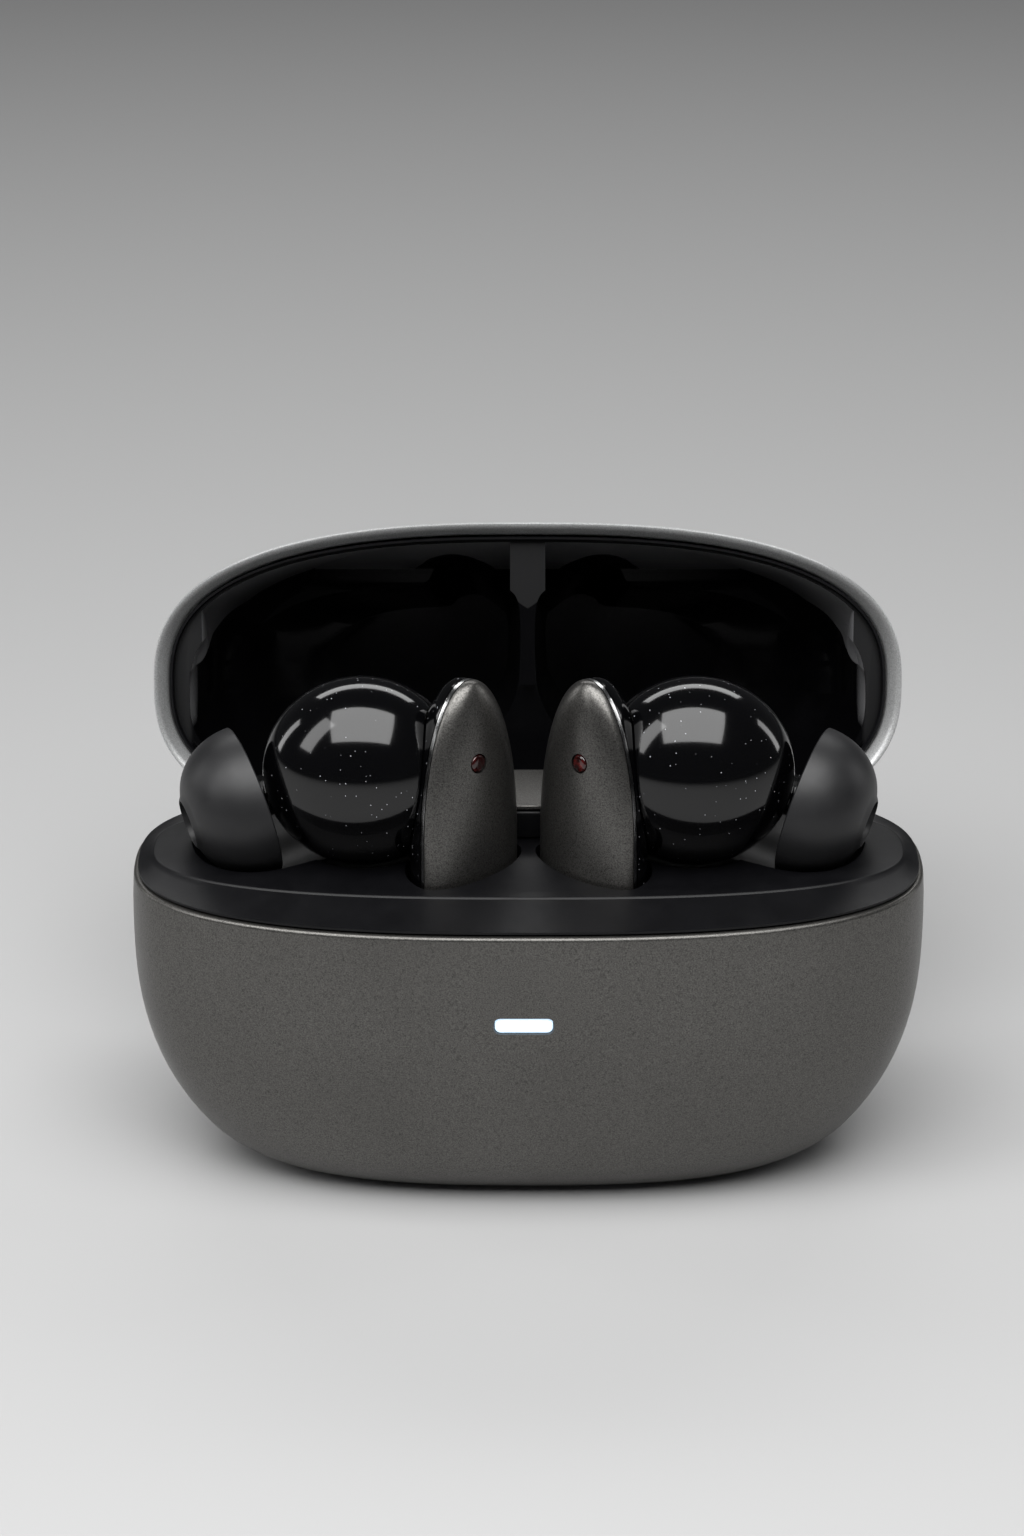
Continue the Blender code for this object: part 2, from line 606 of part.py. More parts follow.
def build_lid_liner():
    """The gloss moulding inside the lid: its edge, a front wall swept about the hinge, and two cavities."""
    gap = LID_WALL + 0.15
    levels = (LINER_Z, 30.5, 33.5, 37, 40, 42.5, 44.5, 45.6)
    rings = [lid_ring(z + (0 if z < 38 else 1.2), gap, z) for z in levels]
    liner = loft("lid_liner", rings, "gloss_black")
    for side in (-1, 1):
        plan = cavity_plan(side)
        tops = ((LINER_Z - 2, 1.0), (33.5, 1.0), (35.5, 0.95), (38, 0.9), (40, 0.84), (42.2, 0.72), (44.4, 0.56))
        rings = [[(side * 3 + (x - side * 3) * s, (y + 0.5) * s - 0.5, z) for x, y in plan] for z, s in tops]
        cut(liner, loft(f"cavity_{side}", rings, "gloss_black"))
        low, high = sorted((side * 1.5, side * 27.9))
        arc = [radians(a) for a in range(138, 176, 5)]
        sweep = [(HINGE_Y + SWING_R * cos(a), HINGE_Z + SWING_R * sin(a)) for a in arc]
        cut(liner, yz_prism(f"swing_{side}", sweep + [(2.0, sweep[-1][1]), (2.0, sweep[0][1])], low, high,
                            "gloss_black"))
    cut(liner, box("cover_way", (-4.1, 0.2, LINER_Z - 2), (4.1, 14, TRAY_Z + 3.9), "gloss_black"))
    cut(liner, box("arm_way", (-ARM_HALF - 0.4, HINGE_Y - 1.8, LINER_Z - 2),
                   (ARM_HALF + 0.4, 15, HINGE_Z + 10.1), "gloss_black"))
    return liner


def build_lid_trim():
    """The thin ring between the lid's metal rim and its liner."""
    z0, z1 = LINER_Z - 0.75, LINER_Z - 0.2
    bm = bmesh.new()
    levels = [(z0, LID_WALL + 0.15), (z1, LID_WALL + 0.15), (z1, LID_WALL + 0.45), (z0, LID_WALL + 0.45)]
    rows = [[bm.verts.new(Vector(p) * MM) for p in lid_ring(z, inset)] for z, inset in levels]
    for low, high in zip(rows, rows[1:] + rows[:1]):
        for i in range(AROUND):
            j = (i + 1) % AROUND
            bm.faces.new((low[i], low[j], high[j], high[i]))
    ring = finish_mesh("lid_trim_ring", bm, "satin_black")
    cut(ring, box("trim_break", (-ARM_HALF - 0.4, 9, z0 - 1), (ARM_HALF + 0.4, 16, z1 + 1), "satin_black"))
    return ring


def build_lid():
    magnet = box("lid_magnet", (-1.0, -11.9, 29.8), (1.0, -10.1, 31.6), "steel")
    liner = build_lid_liner()
    cut(liner, box("magnet_pocket", (-1.2, -13.6, 29.6), (1.2, -9.9, 31.8), "gloss_black"))
    pieces = [build_lid_shell(), liner, build_lid_trim(), magnet, build_hinge_arm()]
    pivot = empty("lid_pivot", (0, HINGE_Y, HINGE_Z))
    hang(pivot, *pieces)
    for piece in pieces:
        guides = [m.object for m in piece.modifiers if m.type == "BOOLEAN"]
        hang(pivot, *guides)
    pivot.rotation_euler = (-OPEN_ANGLE, 0, 0)
    return pieces


# ---------------------------------------------------------------- electronics in the base

def build_usb():
    z = BOARD_Z + BOARD_T + GAP + USB_H / 2
    back = base_axes(z)[1] - 0.5
    shell = rounded_bar("usb_receptacle", USB_W / 2, USB_H / 2, 1.5, back - USB_DEPTH, back, (0, 0, z), "steel")
    cut(shell, rounded_bar("usb_mouth", USB_W / 2 - USB_WALL, USB_H / 2 - USB_WALL, 1.2,
                           back - USB_DEPTH + 0.8, back + 2, (0, 0, z), "steel"))
    tongue = box("usb_tongue", (-3.3, back - USB_DEPTH + 1.0, z - 0.35), (3.3, back - 1.2, z + 0.35), "satin_black")
    return [shell, tongue]


def build_base_electronics():
    board = box("main_board", (-17, -7, BOARD_Z), (17, 6.8, BOARD_Z + BOARD_T), "board_green")
    bevelled = box("case_battery", (-16.5, 4.7, 8.9), (16.5, 9.1, 20.3), "cell_wrap")
    bevel = bevelled.modifiers.new("edges", "BEVEL")
    bevel.width = 0.9 * MM
    bevel.segments = 2
    led = rounded_bar("led_light_pipe", LED_W / 2, LED_H / 2, 0.5, -base_axes(LED_Z)[1] + 0.02,
                      -base_axes(LED_Z)[1] + 2.2, (LED_X, 0, LED_Z), "led_white")
    led_board = box("led_board", (LED_X - 3, -11.5, LED_Z - 1.4), (LED_X + 3, -11.1, LED_Z + 1.4), "board_green")
    pieces = [board, bevelled, led, led_board]
    pin_board_z = 11.8
    for word, side in (("left", -1), ("right", 1)):
        frame = stem_frame(side)
        foot = frame @ (Vector((0, 1.2, STEM_BOTTOM)) * MM) / MM
        for index, offset in enumerate((-PIN_SPREAD, PIN_SPREAD), 1):
            place = frame @ (Vector((offset, 1.2, STEM_BOTTOM - 0.75)) * MM) / MM
            radius = PIN_R - 0.15
            pin = spun(f"{word}_pogo_pin_{index}", [(radius, pin_board_z + 0.7 - place.z), (radius, -0.7), (radius, 0)],
                       "gold", (0, 0, 1), place, 12)
            pieces.append(pin)
        pieces.append(box(f"{word}_pin_board", (foot.x - 3.2, foot.y - 2.6, pin_board_z),
                          (foot.x + 3.2, foot.y + 2.6, pin_board_z + 0.4), "board_green"))
        pieces.append(spun(f"{word}_tray_magnet", [(2.0, 0), (2.0, 1.6)], "steel", (0, 0, 1),
                           (side * 16.5, -0.2, TRAY_UNDER - 1.9), 16))
    pieces.append(box("closing_magnet", (-3, -11.3, TRAY_UNDER - 2.1), (3, -9.6, TRAY_UNDER - 0.3), "steel"))
    return pieces + build_usb()


def build_button():
    """The pairing button in the back wall and the switch that it presses."""
    out = base_axes(BUTTON_Z)[1]
    cap = spun("pairing_button", [(BUTTON_R + 0.5, out - 2.4), (BUTTON_R + 0.5, out - 1.9), (BUTTON_R, out - 1.9),
               (BUTTON_R, out - 0.15), (BUTTON_R - 0.25, out)], "satin_black", (0, 1, 0), (0, 0, BUTTON_Z), 24)
    switch = box("button_switch", (-1.3, out - 3.9, BUTTON_Z - 1.1), (1.3, out - 2.8, BUTTON_Z + 1.1), "steel")
    hang(empty("button_slide", (0, out, BUTTON_Z)), cap)
    return [cap, switch]


def main():
    clear_scene()
    build_base_shell()
    build_tray()
    build_hinge_cover()
    build_hinge_bracket()
    build_hinge_pin()
    build_hinge_spring()
    for word, side in (("left", -1), ("right", 1)):
        build_screw(f"{word}_bracket_screw", side * 8.0, 7.5, TRAY_UNDER - 1.5)
    build_base_electronics()
    build_button()
    for word, side in (("left", -1), ("right", 1)):
        build_earbud(word, side)
    build_lid()


main()
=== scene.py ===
"""Looks of the wireless earbuds case: fine surfaces and materials on the frame, in a plain studio."""

import json
from math import cos, pi, radians, sin, sqrt

import bmesh
import bpy
from mathutils import Matrix, Vector


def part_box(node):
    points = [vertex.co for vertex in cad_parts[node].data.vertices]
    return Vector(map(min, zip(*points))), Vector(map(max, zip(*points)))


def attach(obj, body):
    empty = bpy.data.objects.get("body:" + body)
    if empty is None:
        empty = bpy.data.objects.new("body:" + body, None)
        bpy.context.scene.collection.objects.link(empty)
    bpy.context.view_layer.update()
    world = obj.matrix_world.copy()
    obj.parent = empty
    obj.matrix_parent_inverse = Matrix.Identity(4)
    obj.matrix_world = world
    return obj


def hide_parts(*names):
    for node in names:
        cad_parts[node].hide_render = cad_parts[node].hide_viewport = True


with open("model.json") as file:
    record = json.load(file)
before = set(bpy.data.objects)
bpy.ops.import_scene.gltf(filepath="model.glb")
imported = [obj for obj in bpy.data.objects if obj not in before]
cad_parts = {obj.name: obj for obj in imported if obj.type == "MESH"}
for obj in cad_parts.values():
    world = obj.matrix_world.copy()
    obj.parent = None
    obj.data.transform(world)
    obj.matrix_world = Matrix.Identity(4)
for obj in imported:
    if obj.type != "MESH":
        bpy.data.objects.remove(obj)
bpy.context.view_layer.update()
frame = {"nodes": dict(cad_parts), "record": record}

MM = 0.001

# The case's form, in millimetres, as in the CAD model
HALF_W, HALF_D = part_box("base_shell")[1].x / MM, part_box("base_shell")[1].y / MM
PLAN_POWER, LOWER_POWER, UPPER_POWER = 2.6, 2.4, 2.5
WIDEST_Z, SEAM_Z, CASE_H = 20.8, 26.2, 49.5
LOWER_REACH, FOOT_ROUND, FOOT_PULL = 26.3, 4.2, 2.6
WALL, FLOOR = 1.2, 1.4
AROUND = 176

TRAY_Z, TRAY_HALF_W, TRAY_HALF_D, TRAY_UNDER, TRAY_INSET = 27.4, 30.45, 9.1, 23.2, 0.35

HINGE_Y, HINGE_Z, OPEN_ANGLE = 12.0, 22.8, radians(107.5)
LID_RIM_Z, LID_WALL, RIM_RISE, LINER_Z, SWING_R = 26.7, 1.1, 0.9, 28.3, 25.4
ARM_HALF, EAR_OUT = 4.6, 6.1
SKIN_INSET = 0.08              # how far the finished lid's skin stays inside the CAD lid
LID_LEVELS = (LID_RIM_Z + 0.5, 28, 29.5, 31, 33, 35, 37, 39, 41, 42.5, 44, 45.3, 46.4, 47.3, 48.1, 48.7, 49.1,
              49.35, 49.45)

LINER_INSET = LID_WALL + 0.15
LINER_LEVELS = (29.2, 30.5, 32, 33.5, 35.2, 37, 38.6, 40, 41.3, 42.5, 43.5, 44.5, 45.6)
LINER_SHOULDER, LINER_DROP = 38, 1.2   # above the shoulder the moulding draws in by that much more height
LINER_SKIN = 0.45                      # the thinnest that a hollow leaves the moulding's side
CAVITY_TAPER = ((LINER_Z - 2, 1.0), (33.5, 1.0), (35.5, 0.95), (38, 0.9), (40, 0.84), (41.2, 0.785),
                (42.2, 0.72), (43.4, 0.65), (44.4, 0.56))
DEEP_Z = 37                            # faces of the moulding above this height are the floor of a hollow

# The bezel's inner edge in the lid: distance across, and distance forward of the middle
BEZEL_EDGE = ((0.0, 6.3), (0.75, 6.8), (2.0, 8.2), (4.2, 9.8), (6.4, 10.4), (8.2, 10.1), (9.4, 9.3),
              (10.6, 8.6), (16.0, 8.1), (21.0, 7.3), (25.0, 5.9), (27.4, 3.6), (28.6, 1.0), (29.3, 0.0))
BEZEL_END = 28.7

LEAN, STEM_TURN = radians(6.6), radians(45)
STEM_X, STEM_Y = 4.8, -3.6
STEM_HALF, COVER_BULGE, STEM_BACK = 5.05, 2.1, 4.4
STEM_TOP, STEM_SHOULDER, STEM_BOTTOM, STEM_FOOT_HALF = 15.7, 2.5, -11.5, 3.3
WINDOW_AT = (-0.7, -1.88, 9.3)
BULB_AT, BULB_R = (13.35, -0.2, 34.3), (8.1, 6.6, 7.9)
TIP_AT, TIP_YAW, TIP_DIP = (22.3, 0.6, 31.3), radians(20), radians(13)
TIP_R, TIP_LENGTH, TIP_MOUTH = 6.2, 5.7, 1.9
WELL_GAP = 0.4
PIN_R, PIN_SPREAD = 0.55, 1.6

LED_X, LED_Z, LED_W, LED_H = -0.4, 18.4, 4.6, 1.25
USB_W, USB_H, USB_Z = 8.94, 3.26, 7.13
BUTTON_Z, BUTTON_R = 14.2, 2.1

# The studio, in millimetres, degrees and watts
CAMERA_AIM, CAMERA_AWAY, CAMERA_RISE, CAMERA_LENS = (-1.34, 0, 34.4), 300, 25.5, 87.3
FLOOR_HALF, FLOOR_TOP, FLOOR_THICK = 4000, -0.02, 1.98
FLOOR_PAINTED_FALLOFF = ((-60, 0.46), (400, 0.21))    # painted light falloff: the paper's colour is light at the front and darker far behind, in place of the light falling off


# ---------------------------------------------------------------- materials

class Shader:
    """A Principled material with small helpers for its procedural nodes."""

    def __init__(self, name):
        self.material = bpy.data.materials.new(name)
        self.material.use_nodes = True
        self.tree = self.material.node_tree
        self.bsdf = self.tree.nodes["Principled BSDF"]
        self.place = self.node("ShaderNodeTexCoord").outputs["Object"]

    def node(self, kind, **settings):
        made = self.tree.nodes.new(kind)
        for key, value in settings.items():
            setattr(made, key, value)
        return made

    def set(self, **values):
        for key, value in values.items():
            self.bsdf.inputs[key.replace("_", " ")].default_value = value

    def link(self, source, target):
        self.tree.links.new(source, target)

    def split(self, vector):
        """The three numbers of a vector."""
        made = self.node("ShaderNodeSeparateXYZ")
        self.link(vector, made.inputs["Vector"])
        return made.outputs["X"], made.outputs["Y"], made.outputs["Z"]

    def math(self, operation, *values):
        """A Math node whose operands are sockets or numbers."""
        made = self.node("ShaderNodeMath", operation=operation)
        for socket, value in zip(made.inputs, values):
            if isinstance(value, (int, float)):
                socket.default_value = value
            else:
                self.link(value, socket)
        return made.outputs["Value"]

    def remap(self, source, from_min=0.0, from_max=1.0, to_min=0.0, to_max=1.0):
        made = self.node("ShaderNodeMapRange")
        made.inputs["From Min"].default_value = from_min
        made.inputs["From Max"].default_value = from_max
        made.inputs["To Min"].default_value = to_min
        made.inputs["To Max"].default_value = to_max
        self.link(source, made.inputs["Value"])
        return made.outputs["Result"]

    def roughness(self, source, low, high):
        """Lets the roughness follow the source between two values."""
        self.link(self.remap(source, to_min=low, to_max=high), self.bsdf.inputs["Roughness"])

    def noise(self, grain_mm, detail=3.0, stretch=None):
        """Noise whose features are about grain_mm across."""
        noise = self.node("ShaderNodeTexNoise")
        noise.inputs["Scale"].default_value = 1 / (grain_mm * MM)
        noise.inputs["Detail"].default_value = detail
        source = self.place
        if stretch:
            mapping = self.node("ShaderNodeMapping")
            mapping.inputs["Scale"].default_value = stretch
            self.link(source, mapping.inputs["Vector"])
            source = mapping.outputs["Vector"]
        self.link(source, noise.inputs["Vector"])
        return noise.outputs["Fac"]

    def ramp(self, source, low, high, start=0.35, end=0.65):
        """A ramp from one colour (or grey number) to another over part of the source's range."""
        ramp = self.node("ShaderNodeValToRGB")
        for stop, place, value in zip(ramp.color_ramp.elements, (start, end), (low, high)):
            stop.position = place
            stop.color = (*value, 1) if isinstance(value, tuple) else (value, value, value, 1)
        self.link(source, ramp.inputs["Fac"])
        return ramp.outputs["Color"]

    def mix(self, factor, first, second):
        mix = self.node("ShaderNodeMix", data_type="RGBA")
        self.link(factor, mix.inputs["Factor"])
        colour_inputs = [s for s in mix.inputs if s.type == "RGBA"]
        for socket, value in zip(colour_inputs, (first, second)):
            if isinstance(value, tuple):
                socket.default_value = (*value, 1)
            else:
                self.link(value, socket)
        return [s for s in mix.outputs if s.type == "RGBA"][0]

    def bump(self, height, distance_mm, strength):
        bump = self.node("ShaderNodeBump")
        bump.inputs["Distance"].default_value = distance_mm * MM
        bump.inputs["Strength"].default_value = strength
        self.link(height, bump.inputs["Height"])
        self.link(bump.outputs["Normal"], self.bsdf.inputs["Normal"])


def powder_metal(name, dark, light, rough, grain_mm, bump_mm, metallic=0.85):
    """Metallic paint with a fine sparkling grain and a slow drift of tone."""
    s = Shader(name)
    s.set(Metallic=metallic)
    fine = s.noise(grain_mm, 2.0)
    tone = s.ramp(fine, dark, light, 0.30, 0.72)
    drift = s.ramp(s.noise(9.0, 2.0), 0.0, 1.0, 0.3, 0.7)
    deeper = tuple(c * 0.86 for c in light)
    shaded = s.mix(s.ramp(s.noise(grain_mm * 2.3, 1.0), 0.0, 0.45, 0.4, 0.7), tone, deeper)
    clouded = s.mix(s.ramp(s.noise(14.0, 1.0), 0.0, 0.18, 0.3, 0.7), shaded, dark)
    s.link(clouded, s.bsdf.inputs["Base Color"])
    s.roughness(drift, rough - 0.05, rough + 0.06)
    s.bump(fine, bump_mm, 1.0)
    return s.material


def moulded(name, dark, light, rough, grain_mm=0.25, bump_mm=0.004, spread=0.06, **more):
    """Moulded plastic or rubber: a soft mottle of tone and roughness, with a fine spark-eroded grain."""
    s = Shader(name)
    s.set(**more)
    s.link(s.ramp(s.noise(3.0, 4.0), dark, light, 0.3, 0.7), s.bsdf.inputs["Base Color"])
    s.roughness(s.noise(1.1, 5.0), rough - spread, rough + spread)
    s.bump(s.noise(grain_mm, 2.0), bump_mm, 0.8)
    return s.material


def glitter_gloss():
    """Deep gloss black with sparse fine metal flecks under the lacquer."""
    s = Shader("gloss_black_fleck")
    cell_mm = 0.40
    cells = s.node("ShaderNodeTexVoronoi")
    cells.inputs["Scale"].default_value = 1 / (cell_mm * MM)
    s.link(s.place, cells.inputs["Vector"])
    near = s.ramp(cells.outputs["Distance"], 1.0, 0.0, 0.07, 0.13)
    pick = s.node("ShaderNodeSeparateColor")
    s.link(cells.outputs["Color"], pick.inputs["Color"])
    chosen = s.ramp(pick.outputs["Red"], 0.0, 1.0, 0.72, 0.76)
    fleck = s.math("MULTIPLY", near, chosen)
    speckled = s.mix(fleck, (0.0012, 0.0012, 0.0015), (0.55, 0.56, 0.60))
    s.link(speckled, s.bsdf.inputs["Base Color"])
    s.roughness(s.noise(2.2, 3.0), 0.085, 0.125)
    s.set(Coat_Weight=0.3, Coat_Roughness=0.04, Specular_IOR_Level=0.35)
    return s.material


def brushed(name, dark, light, rough, stretch=(1, 14, 14)):
    """Bare metal whose grain runs along X, or is even where the stretch is."""
    s = Shader(name)
    s.set(Metallic=1.0)
    grain = s.noise(0.9, 6.0, stretch)
    s.link(s.ramp(grain, dark, light, 0.3, 0.7), s.bsdf.inputs["Base Color"])
    s.roughness(grain, rough - 0.05, rough + 0.08)
    s.bump(grain, 0.003, 0.6)
    return s.material


def glowing(name, colour, strength, rough):
    """A lit diffuser with a faint frost."""
    s = Shader(name)
    s.set(Roughness=rough)
    frost = s.ramp(s.noise(0.5, 3.0), tuple(c * 0.92 for c in colour), colour, 0.3, 0.7)
    s.link(frost, s.bsdf.inputs["Base Color"])
    s.link(frost, s.bsdf.inputs["Emission Color"])
    s.bsdf.inputs["Emission Strength"].default_value = strength
    s.bump(s.noise(0.2, 2.0), 0.002, 0.5)
    return s.material


def red_window():
    """Dark red glass over a sensor, with a few brighter specks behind it and a faint painted glow."""
    s = Shader("sensor_red")
    specks = s.ramp(s.noise(0.7, 2.0), (0.010, 0.001, 0.001), (0.085, 0.006, 0.005), 0.45, 0.68)
    s.link(specks, s.bsdf.inputs["Base Color"])
    s.link(specks, s.bsdf.inputs["Emission Color"])
    # Painted glow: the window emits its own colour faintly, though nothing behind it gives light.
    s.bsdf.inputs["Emission Strength"].default_value = 0.08
    s.set(Roughness=0.12, Coat_Weight=0.5)
    s.bump(s.noise(0.4, 2.0), 0.002, 0.4)
    return s.material


def bezel_edge(s, share):
    """The depth of the bezel's inner edge, as a share of the half-depth, at a share of the half-width."""
    edge = s.node("ShaderNodeFloatCurve")
    curve = edge.mapping.curves[0]
    for x, y in BEZEL_EDGE[1:-1]:
        curve.points.new(x / HALF_W, y / HALF_D)
    curve.points[0].location = (BEZEL_EDGE[0][0] / HALF_W, BEZEL_EDGE[0][1] / HALF_D)
    curve.points[-1].location = (1.0, BEZEL_EDGE[-1][1] / HALF_D)
    edge.mapping.update()
    s.link(share, edge.inputs["Value"])
    return edge.outputs["Value"]


def two_tone(name, satin, deep):
    """Gloss black cavities inside a satin bezel, whose edge runs over two humps to a point in the middle."""
    s = Shader(name)
    shut = s.node("ShaderNodeMapping")
    pivot = Vector((0, HINGE_Y, HINGE_Z)) * MM
    shut.inputs["Rotation"].default_value = (OPEN_ANGLE, 0, 0)
    shut.inputs["Location"].default_value = pivot - Matrix.Rotation(OPEN_ANGLE, 3, "X") @ pivot
    s.link(s.place, shut.inputs["Vector"])
    x, y, z = s.split(shut.outputs["Vector"])

    share = s.math("DIVIDE", s.math("ABSOLUTE", x), HALF_W * MM)
    forward = s.math("MULTIPLY", y, -1 / (HALF_D * MM))
    past_edge = s.math("SUBTRACT", forward, bezel_edge(s, share))
    past_end = s.math("SUBTRACT", share, BEZEL_END / HALF_W)
    mask = s.ramp(s.math("MAXIMUM", past_edge, past_end), 0.0, 1.0, 0.0, 0.012)

    # Painted light: the colour runs from the first tone at the rim's level to the second tone deeper in.
    # Where the two differ, this paints the wall lighter near the rim.
    fade_mm = 9
    level = s.remap(z, LINER_Z * MM, (LINER_Z + fade_mm) * MM)
    rim_painted_light = s.ramp(level, satin, deep, 0.0, 1.0)
    dull = tuple(c * 0.8 for c in deep)
    bezel = s.mix(s.ramp(s.noise(2.6, 4.0), 0.0, 0.25, 0.3, 0.7), rim_painted_light, dull)
    s.link(s.mix(mask, (0.0014, 0.0014, 0.0017), bezel), s.bsdf.inputs["Base Color"])
    s.link(s.ramp(mask, 0.17, 0.44, 0.0, 1.0), s.bsdf.inputs["Roughness"])
    s.set(Specular_IOR_Level=0.3)
    s.bump(s.noise(0.25, 2.0), 0.003, 0.7)
    return s.material


MATERIALS = {
    "metal_paint": powder_metal("powder_gunmetal", (0.060, 0.058, 0.055), (0.168, 0.163, 0.154), 0.37,
                                0.11, 0.010),
    "lid_paint": powder_metal("powder_lid", (0.38, 0.385, 0.385), (0.66, 0.665, 0.665), 0.36,
                              0.11, 0.008, 0.65),
    "gunmetal": powder_metal("powder_cover", (0.050, 0.048, 0.046), (0.20, 0.195, 0.185), 0.33,
                             0.10, 0.009, 0.9),
    "satin_black": moulded("satin_black", (0.0016, 0.0016, 0.0022), (0.0030, 0.0030, 0.0038), 0.42,
                           Specular_IOR_Level=0.24),
    "bezel": two_tone("lid_bezel", (0.0085, 0.0085, 0.009), (0.0085, 0.0085, 0.009)),
    # Painted light: the swept front wall faces down into shade, so it is painted light grey near the rim,
    # fading to dark grey deeper in.
    "bezel_sweep": two_tone("lid_front_wall_painted_light", (0.32, 0.32, 0.33), (0.035, 0.035, 0.036)),
    "cavity": moulded("gloss_cavity", (0.0011, 0.0011, 0.0013), (0.0018, 0.0018, 0.0022), 0.20,
                      0.6, 0.001, 0.04, Specular_IOR_Level=0.2),
    "gloss_black": glitter_gloss(),
    "silicone": moulded("silicone", (0.0060, 0.0060, 0.0068), (0.0095, 0.0095, 0.0105), 0.46, 0.18, 0.003),
    "chrome": brushed("bright_trim", (0.46, 0.46, 0.46), (0.66, 0.66, 0.66), 0.20, (1, 1, 1)),
    "steel": brushed("plain_steel", (0.36, 0.36, 0.37), (0.50, 0.50, 0.51), 0.32),
    "gold": brushed("gold_plate", (0.70, 0.47, 0.17), (0.88, 0.64, 0.27), 0.22, (1, 1, 1)),
    "board_green": moulded("solder_mask", (0.006, 0.045, 0.018), (0.012, 0.075, 0.032), 0.32, 0.5, 0.003),
    "cell_wrap": moulded("cell_wrap", (0.19, 0.21, 0.24), (0.27, 0.29, 0.32), 0.38, 0.8, 0.004,
                         Metallic=0.3),
    "lens_red": red_window(),
    "led_white": glowing("light_pipe", (0.62, 0.80, 1.0), 1.0, 0.35),
}


# ---------------------------------------------------------------- solids

def power(value, exponent):
    """The power of a number's size, with its sign kept."""
    return abs(value) ** exponent * (1 if value >= 0 else -1)


def outline(a, b, z):
    """A superellipse with the case's plan, as a ring of points."""
    turns = [2 * pi * i / AROUND for i in range(AROUND)]
    return [(a * power(cos(t), 2 / PLAN_POWER), b * power(sin(t), 2 / PLAN_POWER), z) for t in turns]


def base_axes(z, inset=0.0):
    """Half-axes of the case's outline at height z, below or just above the widest level."""
    if z <= WIDEST_Z:
        share = (1 - ((WIDEST_Z - z) / LOWER_REACH) ** LOWER_POWER) ** (1 / LOWER_POWER)
    else:
        share = (1 - ((z - WIDEST_Z) / (CASE_H - WIDEST_Z)) ** UPPER_POWER) ** (1 / UPPER_POWER)
    pull = FOOT_PULL * (1 - sqrt(1 - (1 - z / FOOT_ROUND) ** 2)) if z < FOOT_ROUND else 0.0
    return HALF_W * share - pull - inset, HALF_D * share - pull - inset


def case_ring(z, inset=0.0, at=None):
    """The case's outline at height z, drawn in by the inset, and laid at another height if one is given."""
    a, b = base_axes(z, inset)
    return outline(a, b, z if at is None else at)


def finished(name, bm, angle=38):
    bmesh.ops.recalc_face_normals(bm, faces=bm.faces)
    mesh = bpy.data.meshes.new(name)
    bm.to_mesh(mesh)
    bm.free()
    obj = bpy.data.objects.new(name, mesh)
    bpy.context.scene.collection.objects.link(obj)
    smooth(obj, angle)
    return obj


def smooth(obj, angle=38):
    obj.data.shade_smooth()
    obj.data.set_sharp_from_angle(angle=radians(angle))


def loft(name, rings, closed=False, angle=38):
    """A solid through rings: capped at both ends, or joined round into a ring-shaped body."""
    bm = bmesh.new()
    rows = [[bm.verts.new(Vector(p) * MM) for p in ring] for ring in rings]
    count = len(rows[0])
    for low, high in zip(rows, rows[1:] + (rows[:1] if closed else [])):
        for i in range(count):
            j = (i + 1) % count
            bm.faces.new((low[i], low[j], high[j], high[i]))
    if not closed:
        bm.faces.new(rows[0])
        bm.faces.new(rows[-1])
    return finished(name, bm, angle)


def placed(obj, matrix):
    """Moves the mesh itself, and turns its faces back where the matrix mirrors it."""
    obj.data.transform(matrix)
    if matrix.determinant() < 0:
        obj.data.flip_normals()
    return obj


def box(name, low, high):
    corners = ((low[0], low[1]), (high[0], low[1]), (high[0], high[1]), (low[0], high[1]))
    return loft(name, [[(x, y, z) for x, y in corners] for z in (low[2], high[2])])


def rounded_bar(name, half_w, half_h, radius, y_levels, at):
    """A bar along Y with a rounded section; y_levels are (y, inset) pairs."""
    rings = []
    for y, inset in y_levels:
        ring = []
        for corner, (sx, sz) in enumerate(((1, 1), (-1, 1), (-1, -1), (1, -1))):
            for step in range(9):
                turn = pi / 2 * (corner + step / 8)
                r = radius - inset
                ring.append((at[0] + sx * (half_w - radius) + r * cos(turn), y,
                             at[1] + sz * (half_h - radius) + r * sin(turn)))
        rings.append(ring)
    return loft(name, rings)


def spun(name, profile, axis=(0, 0, 1), at=(0, 0, 0), count=64, closed=False):
    """A turned solid: its profile is (radius, height) pairs, and its axis starts at a point."""
    rings = [[(r * cos(2 * pi * i / count), r * sin(2 * pi * i / count), h) for i in range(count)]
             for r, h in profile]
    aim = Vector((0, 0, 1)).rotation_difference(Vector(axis)).to_matrix().to_4x4()
    return placed(loft(name, rings, closed), Matrix.Translation(Vector(at) * MM) @ aim)


def ball(name, centre, radii, columns, rows):
    """An ellipsoid of rings along X, which stop just short of its two ends."""
    short = 0.006
    rings = []
    for i in range(rows + 1):
        angle = pi * (short + (1 - 2 * short) * i / rows)
        x = centre[0] - radii[0] * cos(angle)
        y, z = radii[1] * sin(angle), radii[2] * sin(angle)
        rings.append([(x, centre[1] + y * cos(t), centre[2] + z * sin(t))
                      for t in (2 * pi * j / columns for j in range(columns))])
    return loft(name, rings)


